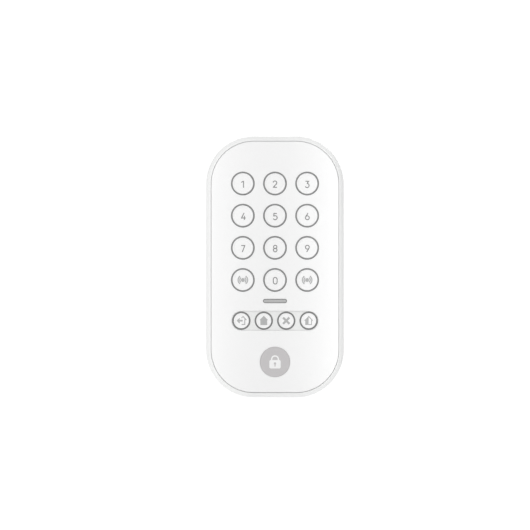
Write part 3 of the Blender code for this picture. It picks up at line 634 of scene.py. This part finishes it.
def build_rings():
    """The grey moulding whose collars show round the keys, all in one piece."""
    moulding = bmesh.new()
    x, _, z = span("key_ring_guide")
    centre = ((x[0] + x[1]) / 2, (z[0] + z[1]) / 2)
    outline = rounded(x[1] - x[0], z[1] - z[0], RING_PLATE_CORNER, centre, steps=12)
    back, front = walls(moulding, [(outline, depth) for depth in RING_PLATE])
    fronts, backs = [front], [back]
    top_edge = rounding(RING_TOP, RING_ROUND)
    for name in KEYS:
        place, sizes = key_sizes(name)
        outer, inner = sizes["ring_out"], sizes["ring_in"]
        outside = [(circle(outer, place), RING_PLATE[1])]
        outside += [(circle(outer - inset, place), depth) for inset, depth in top_edge]
        inside = [(circle(inner, place), RING_PLATE[0])]
        inside += [(circle(inner + inset, place), depth) for inset, depth in top_edge]
        before = len(moulding.faces)
        base, end = walls(moulding, outside + inside[::-1])
        if sizes is SMALL_KEY:
            moulding.faces.ensure_lookup_table()
            for face in moulding.faces[before:]:
                face.material_index = 1
        fronts.append(base)
        backs.append(end)
    bar = middle("status_light_bar")
    window = stadium(*STATUS_BAR, bar, STATUS_BAR_FLANGE + 4 * GAP)
    back, front = walls(moulding, [(window, depth) for depth in RING_PLATE])
    fill(moulding, *fronts, front)
    fill(moulding, *backs, back)
    rings = new_piece("ring_moulding", moulding, finish_of("grey_ring"), finish_of("dark_ring"))
    finish_piece(rings, "keypad_unit", "grey_ring", "key_ring_guide")


def build_cap(name):
    """A key: a softly dished cap with a flat middle, its flange and its stem."""
    place, sizes = key_sizes(name)
    back, top = span(name)[1]
    cap, flat = sizes["cap"], sizes["cap"] - KEY_RISE
    floor = top - KEY_DISH
    dish = softened([(flat, floor), (flat + 0.3, floor), (cap - 0.6, top), (cap - 0.3, top)])
    edge = [(cap - inset, depth) for inset, depth in reversed(rounding(top, KEY_ROUND, 6))]
    profile = [
        *dish,
        *edge,
        (cap, KEY_FLANGE[1]),
        (sizes["flange"], KEY_FLANGE[1]),
        (sizes["flange"], KEY_FLANGE[0]),
        (sizes["stem"], KEY_FLANGE[0]),
        (sizes["stem"], back),
    ]
    key = bmesh.new()
    add_solid(key, [(circle(radius, place), depth) for radius, depth in profile])
    piece = new_piece(f"cap_{name}", key, finish_of("white_key"))
    finish_piece(piece, name, "white_key", name)


def build_light_bar():
    """The status light's lens, crowned a little, with the flange that keeps it in its slot. Its rounded
    border is painted darker, as painted shade for the gap round the lens.
    """
    place = middle("status_light_bar")
    back, top = span("status_light_bar")[1]
    lens = bmesh.new()
    step = RING_PLATE[1]
    sections = [(STATUS_BAR_FLANGE, back), (STATUS_BAR_FLANGE, step), (0.0, step)]
    sections += [(-inset, depth) for inset, depth in rounding(top - BAR_CROWN, BAR_ROUND)]
    sections += [(-0.55, top - 0.03), (-0.85, top)]
    add_solid(lens, [(stadium(*STATUS_BAR, place, grow), depth) for grow, depth in sections])
    # The lens's rounded edge and sides get the darker second material: painted shade for the gap round the
    # lens.
    border = [face for face in lens.faces if face.calc_center_median().y > -(top - BAR_CROWN) * MM]
    for face in border:
        face.material_index = 1
    piece = new_piece("light_bar_lens", lens, finish_of("grey_lens"), finish_of("lens_border_painted_shade"))
    finish_piece(piece, "keypad_unit", "grey_lens", "status_light_bar")


def build_badge():
    """The disc, with a plain padlock printed on it."""
    place = middle("badge_disc")
    x, (back, face), _ = span("badge_disc")
    radius = (x[1] - x[0]) / 2
    disc = bmesh.new()
    sections = [(circle(radius, place, DISC_STEPS), back)]
    for inset, depth in rounding(face, BADGE_ROUND):
        sections.append((circle(radius - inset, place, DISC_STEPS), depth))
    add_solid(disc, sections)
    piece = new_piece("badge_plate", disc, finish_of("grey_badge"))
    finish_piece(piece, "keypad_unit", "grey_badge", "badge_disc")

    depths = (face + PRINT[0], face + PRINT[1])
    x, z = place
    lock, shackle, keyhole = bmesh.new(), bmesh.new(), bmesh.new()
    add_plate(lock, rounded(6.4, 4.8, 0.9, (x, z - 1.3), 8), depths)
    arch = [(x + 1.9, z + 0.6), *arc((x, z + 1.5), (1.9, 1.9), 0, 180), (x - 1.9, z + 0.6)]
    add_stroke(shackle, arch, 0.8, depths)
    add_plate(keyhole, circle(0.7, (x, z - 0.9), 24), past(depths))
    add_box(keyhole, around(x, 0.3), past(depths), (z - 2.6, z - 1.0))
    glyph = new_piece("badge_padlock", lock, finish_of("badge_print"))
    combine(glyph, shackle, "UNION")
    combine(glyph, keyhole, "DIFFERENCE")
    finish_piece(glyph, "keypad_unit", "white_fascia")


# ---- legends --------------------------------------------------------------------------------------


def bowl(centre, radius, start, end):
    return arc(centre, (radius, radius), start, end, 32)


def turned_round(shapes):
    return [(kind, [(-x, -z) for x, z in path]) for kind, path in shapes]


def digit_shapes(digit):
    """A digit's strokes in a light round style, as (kind, path). A loop is a closed stroke."""
    top, line, half = DIGIT_TOP, DIGIT_LINE, DIGIT_HALF_WIDTH
    six = [("loop", bowl((0.0, -0.78), 1.08, 0, 360)[:-1]), ("line", [(-0.935, -0.24), (0.37, top)])]
    upper_half = arc((0, 0.62), (half, 1.24), 0, 180)[:-1]
    lower_half = arc((0, -0.62), (half, 1.24), 180, 360)[:-1]
    shapes = {
        "0": [("loop", upper_half + lower_half)],
        "1": [("line", [(0.25, -top), (0.25, top)]), ("line", [(-1.0, 1.1), (0.25, line)])],
        "2": [
            ("line", [*bowl((-0.15, 0.84), 1.02, 172, -38), (-1.05, -line)]),
            ("line", [(-1.27, -line), (1.01, -line)]),
        ],
        "3": [
            ("line", [(-1.08, line), (0.72, line), (-0.24, 0.40)]),
            ("line", bowl((-0.16, -0.72), 1.14, 96, -152)),
        ],
        "4": [("line", [(0.55, top), (-0.85, -0.9), (1.5, -0.9)]), ("line", [(0.75, 0.3), (0.75, -top)])],
        "5": [
            ("line", [(0.95, line), (-0.7, line), (-0.84, 0.06)]),
            ("line", bowl((-0.04, -0.72), 1.14, 136, -152)),
        ],
        "6": six,
        "7": [("line", [(-1.08, line), (0.96, line), (-0.42, -top)])],
        "8": [("loop", bowl((0, 0.93), 0.93, 0, 360)[:-1]), ("loop", bowl((0, -0.84), 1.02, 0, 360)[:-1])],
        "9": turned_round(six),
    }
    return shapes[digit]


def house(width, height, eave):
    """A house's outline, from the floor's left end round over the roof."""
    side, floor, brim, apex = width / 2 - eave, -0.47 * height, 0.06 * height, 0.53 * height
    right = [(side, floor), (side, brim), (width / 2, brim), (0.0, apex)]
    return right + [(-x, z) for x, z in right[-2::-1]]


def icon_shapes(name):
    """An icon's shapes, as (kind, path). A solid is a filled outline."""
    wave_pairs = []
    for radius, spread in ((1.72, 50), (2.68, 54)):
        wave_pairs += [("wave", bowl((0, 0), radius, turn - spread, turn + spread)) for turn in (0, 180)]
    wall, floor, sill = 1.9, -2.4, -1.9
    half_house = [(0.0, 2.6), (-2.6, 0.0), (-wall, 0.0), (-wall, floor), (wall, floor), (wall, 0.2)]
    half_house += [(wall - 0.5, 0.2), (wall - 0.5, sill), (-0.1, sill)]
    right_roof = [(-0.2, 2.45), (0.0, 2.8), (2.6, 0.0)]
    right_roof += [(wall - 0.5, 0.0), (wall - 0.5, 0.6), (-0.1, 2.1)]
    arrow_head = [(-2.7, 0.0), (-1.1, -1.55), (-0.75, -1.0), (-1.55, 0.0), (-0.75, 1.0), (-1.1, 1.55)]
    open_house = [(0.0, 1.55), (1.0, 2.35), (2.6, 0.6), (1.95, 0.6), (1.95, -2.15), (0.15, -2.15)]
    shapes = {
        "key_panic": [("solid", circle(1.1, steps=32)), *wave_pairs],
        "key_arm_home": [("solid", house(4.85, 5.25, 0.52))],
        "key_disarm": [("bar", [(-1.8, -1.8), (1.8, 1.8)]), ("bar", [(-1.8, 1.8), (1.8, -1.8)])],
        "key_arm_part": [("solid", half_house), ("solid", right_roof)],
        "key_arm_away": [
            ("heavy line", [(-1.9, 0.0), (0.75, 0.0)]),
            ("solid", arrow_head),
            ("line", open_house),
        ],
    }
    return shapes[name]


def build_legend(name):
    """The print on a key's flat middle, as one thin raised shape that rides with the key."""
    place, _ = key_sizes(name)
    digit = name.removeprefix("key_")
    if digit.isdigit():
        shapes, width, ink = digit_shapes(digit), DIGIT_STROKE, "digit_print"
        place = (place[0] + DIGIT_SHIFT[0], place[1] + DIGIT_SHIFT[1])
    elif "panic" in name:
        shapes, width, ink = icon_shapes("key_panic"), ICON_STROKE, "icon_print"
    else:
        shapes, width, ink = icon_shapes(name), ICON_STROKE, "icon_print"
    face = span(name)[1][1] - KEY_DISH
    depths = (face + PRINT[0], face + PRINT[1])
    first, rest = bmesh.new(), bmesh.new()
    for number, (kind, path) in enumerate(shapes):
        path = [(x + place[0], z + place[1]) for x, z in path]
        target = rest if number else first
        if kind == "solid":
            add_plate(target, path, depths)
        else:
            add_stroke(target, path, HEAVY_STROKES.get(kind, width), depths, closed=kind == "loop")
    legend = new_piece(name.replace("key", "legend", 1), first, finish_of(ink))
    if len(shapes) > 1:
        combine(legend, rest, "UNION")
    finish_piece(legend, name, "grey_ring")


# ---- the bracket and the small moving parts -------------------------------------------------------


def build_bracket():
    """The back plate, with its countersunk slots, T hooks, lock tab and moulded relief."""
    x, _, z = span("wall_bracket")
    centre = (0.0, (z[0] + z[1]) / 2)
    size = (x[1] - x[0], z[1] - z[0])
    radius = CORNER_RADIUS - WALL - HOOK_SLIP
    edges = [(BRACKET_ROUND, 0.0), (0.08, 0.09), (0.0, BRACKET_ROUND)]
    edges += rounding(BRACKET[1], BRACKET_ROUND)
    sections = []
    for inset, depth in edges:
        outline = rounded(size[0] - 2 * inset, size[1] - 2 * inset, radius - inset, centre)
        sections.append((outline, depth))
    plate = bmesh.new()
    add_solid(plate, sections)
    bracket = new_piece("bracket_plate", plate, finish_of("white_bracket"))

    added = bmesh.new()
    for x, z in HOOKS:
        height = around(z, HOOK_STEM)
        add_box(added, around(x, HOOK_STEM), (BRACKET[1] - SINK, HOOK_LIP[1]), height)
        add_box(added, around(x, HOOK_LIP_HALF), HOOK_LIP, height)
    add_box(added, around(0.0, LOCK_TAB_HALF), (BRACKET[1] - SINK, LOCK_TAB_FRONT), LOCK_TAB_Z)
    combine(bracket, added, "UNION")

    removed = bmesh.new()
    for z in WALL_SLOTS:
        hole = stadium(*WALL_SLOT, (0.0, z))
        seat = stadium(*WALL_SLOT_SEAT, (0.0, z))
        front = BRACKET[1]
        add_solid(removed, [(hole, -PAST), (hole, WALL_SLOT_LAND), (seat, front), (seat, front + PAST)])
    tamper = middle("tamper_plunger")
    window = stadium(TAMPER_WINDOW, TAMPER_WINDOW + LIFT, (tamper[0], tamper[1] + LIFT / 2))
    add_plate(removed, window, past(BRACKET))
    combine(bracket, removed, "DIFFERENCE")
    combine(bracket, back_relief(centre, size), "DIFFERENCE")
    finish_piece(bracket, "wall_bracket", "white_bracket", "wall_bracket", edge=SMALL_EDGE)


def back_relief(centre, size):
    """Shallow fields sunk in the bracket's back, which leave a rim, bars and a spine with the slots."""
    cut = bmesh.new()
    rim, bar, spine = RELIEF["rim"], RELIEF["bar"], RELIEF["spine"]
    low, high = centre[1] - size[1] / 2 + rim, centre[1] + size[1] / 2 - rim
    half = size[0] / 2 - rim
    rows = (low + RELIEF["end_row"], -18.0, 12.0, high - RELIEF["end_row"])
    for bottom, top in zip(rows, rows[1:]):
        for side in (-1, 1):
            place = (side * (half + spine + bar) / 2, (top + bottom) / 2)
            field = rounded(half - spine - bar, top - bottom - bar, RELIEF["corner"], place, 8)
            add_plate(cut, field, RELIEF["depths"])
    return cut


def build_plunger():
    """The tamper plunger, with a round tip and a collar for its spring."""
    place = middle("tamper_plunger")
    _, (tip, end), _ = span("tamper_plunger")
    rod, tip_round, collar, collar_depths = 1.7, 0.6, 2.9, (7.2, 8.2)
    head = [(rod - inset, 2 * tip - depth) for inset, depth in rounding(tip, tip_round, 8)]
    profile = [
        *reversed(head),
        (rod, collar_depths[0]),
        (collar, collar_depths[0]),
        (collar, collar_depths[1]),
        (rod, collar_depths[1]),
        (rod, end),
    ]
    plunger = bmesh.new()
    add_solid(plunger, [(circle(radius, place, ROD_STEPS), depth) for radius, depth in profile])
    piece = new_piece("plunger_pin", plunger, finish_of("tamper_white"))
    finish_piece(piece, "tamper_plunger", "tamper_white", "tamper_plunger")


def build_lock_screw():
    """The headless screw in the foot: a threaded bar with a hexagon socket."""
    _, depths, (foot, top) = span("lock_screw")
    depth = sum(depths) / 2
    radius, pitch, groove, chamfer = LOCK_SCREW_RADIUS, 0.5, 0.12, 0.35
    sections = [(radius - chamfer, foot), (radius, foot + chamfer)]
    z = foot + 0.6
    while z < top - 0.9:
        sections += [(radius, z), (radius - groove, z + 0.2 * pitch), (radius, z + 0.4 * pitch)]
        z += pitch
    sections += [(radius, top - 0.5), (radius - 0.4, top)]
    bar, socket = bmesh.new(), bmesh.new()
    add_upright_rod(bar, 0.0, depth, sections, 32)
    screw = new_piece("grub_screw", bar, finish_of("steel"))
    key_radius, key_depth = LOCK_SOCKET
    sections = ((1.0, foot - PAST), (key_radius, foot + 0.1), (key_radius, foot + key_depth))
    add_upright_rod(socket, 0.0, depth, sections, 6)
    combine(screw, socket, "DIFFERENCE")
    finish_piece(screw, "lock_screw", "steel", "lock_screw")


def dress_cad_nodes():
    """Gives each CAD node that stays its finish, by the name of its packed material."""
    for node in frame["nodes"].values():
        for slot in node.material_slots:
            slot.material = finish_of(slot.material.name.split(".")[0])


# ---- light and camera -----------------------------------------------------------------------------

VIEW_CENTRE = (-5.66, 1.08)  # place at the middle of the picture
VIEW_WIDTH = 300.0  # what the picture spans at the front of the panel
LENS, SENSOR = 360.0, 36.0
ORIGIN = (0.0, 0.0, 0.0)
WHITE = (1.0, 1.0, 1.0, 1.0)
AMBIENT, SEEN = 0.6, 1.1  # strength of the white room as light, and as the camera sees it
# Each soft light, in metres: its name, place, aim, size and power
LIGHTS = (
    ("left strip", (-0.052, -0.067, 0.0), (-0.052, 0.0, 0.0), (0.04, 0.5), 0.030),
    ("right strip", (0.052, -0.067, 0.0), (0.052, 0.0, 0.0), (0.04, 0.5), 0.045),
    ("front light", (0.0, -2.0, 0.0), ORIGIN, (1.2, 1.2), 2.6),
    ("top light", (0.0, -0.3, 0.8), ORIGIN, (0.8, 0.6), 1.6),
    ("left light", (-0.8, -0.3, 0.0), ORIGIN, (0.6, 0.8), 1.1),
    ("back light", (0.3, 1.8, 0.6), ORIGIN, (1.2, 1.2), 12.0),
)
# Each grey card: its name, shade, and ranges across, out from the wall and up
CARDS = (
    ("right card", 0.6, (110.0, 111.0), (0.0, 90.0), (-110.0, 110.0)),
    ("bottom card", 0.8, (-60.0, 60.0), (30.0, 90.0), (-141.0, -140.0)),
)
FLOOR = {"radius": 1.8, "height": -0.25, "steps": 96, "glow": 0.15}  # in metres


def softbox(name, place, aim, size, power):
    """A soft light of that size in metres, which the camera doesn't see."""
    lamp = bpy.data.lights.new(name, "AREA")
    lamp.shape = "RECTANGLE"
    lamp.size, lamp.size_y = size
    lamp.energy = power
    obj = bpy.data.objects.new(name, lamp)
    bpy.context.scene.collection.objects.link(obj)
    obj.location = place
    obj.rotation_euler = (Vector(aim) - Vector(place)).to_track_quat("-Z", "Y").to_euler()
    obj.visible_camera = False


def light_the_room():
    """White all round as the camera sees it, and less of it as light. A tall strip close to each
    side of the front leaves the panel's middle a little darker than its sides."""
    world = bpy.data.worlds.new("white room")
    bpy.context.scene.world = world
    world.use_nodes = True
    nodes, links = world.node_tree.nodes, world.node_tree.links
    ambient = nodes["Background"]
    ambient.inputs["Color"].default_value = WHITE
    ambient.inputs["Strength"].default_value = AMBIENT
    seen = nodes.new("ShaderNodeBackground")
    seen.inputs["Color"].default_value = WHITE
    seen.inputs["Strength"].default_value = SEEN
    path = nodes.new("ShaderNodeLightPath")
    choose = nodes.new("ShaderNodeMixShader")
    links.new(path.outputs["Is Camera Ray"], choose.inputs["Fac"])
    links.new(ambient.outputs["Background"], choose.inputs[1])
    links.new(seen.outputs["Background"], choose.inputs[2])
    links.new(choose.outputs["Shader"], nodes["World Output"].inputs["Surface"])
    for light in LIGHTS:
        softbox(*light)


def grey_card(name, shade, x, depths, z):
    """A grey card, not seen by the camera, that takes light away from the side it stands on."""
    card = bmesh.new()
    add_box(card, x, depths, z)
    grey = bpy.data.materials.new("grey card")
    grey.use_nodes = True
    shader = grey.node_tree.nodes["Principled BSDF"]
    shader.inputs["Base Color"].default_value = (shade, shade, shade, 1.0)
    obj = new_piece(name, card, grey)
    obj.visible_camera = False


def lay_the_floor():
    """A pale round floor below the panel. From beneath, it is clear, so that the foot can be seen."""
    floor = bmesh.new()
    bmesh.ops.create_circle(floor, cap_ends=True, segments=FLOOR["steps"], radius=FLOOR["radius"])
    bmesh.ops.translate(floor, verts=floor.verts[:], vec=(0.0, 0.0, FLOOR["height"]))
    pale = bpy.data.materials.new("pale floor")
    pale.use_nodes = True
    nodes, links = pale.node_tree.nodes, pale.node_tree.links
    shader = nodes["Principled BSDF"]
    shader.inputs["Base Color"].default_value = (0.9, 0.9, 0.9, 1.0)
    shader.inputs["Roughness"].default_value = 0.8
    shader.inputs["Emission Color"].default_value = WHITE
    shader.inputs["Emission Strength"].default_value = FLOOR["glow"]
    side = nodes.new("ShaderNodeNewGeometry")
    clear = nodes.new("ShaderNodeBsdfTransparent")
    choose = nodes.new("ShaderNodeMixShader")
    links.new(side.outputs["Backfacing"], choose.inputs["Fac"])
    links.new(shader.outputs["BSDF"], choose.inputs[1])
    links.new(clear.outputs["BSDF"], choose.inputs[2])
    links.new(choose.outputs["Shader"], nodes["Material Output"].inputs["Surface"])
    new_piece("floor", floor, pale)


def set_the_camera():
    camera = bpy.data.objects.new("camera", bpy.data.cameras.new("camera"))
    bpy.context.scene.collection.objects.link(camera)
    camera.data.lens = LENS
    camera.data.sensor_width = SENSOR
    camera.data.clip_end = 20.0
    distance = VIEW_WIDTH * LENS / SENSOR
    camera.location = point(VIEW_CENTRE[0], FASCIA_FRONT + distance, VIEW_CENTRE[1])
    camera.rotation_euler = (math.pi / 2, 0.0, 0.0)
    bpy.context.scene.camera = camera
    bpy.context.scene.view_settings.view_transform = "Standard"


set_the_camera()
light_the_room()
for grey in CARDS:
    grey_card(*grey)
lay_the_floor()
dress_cad_nodes()
build_housing()
build_fascia()
build_rings()
for key_name in KEYS:
    build_cap(key_name)
    build_legend(key_name)
build_light_bar()
build_badge()
build_bracket()
build_plunger()
build_lock_screw()
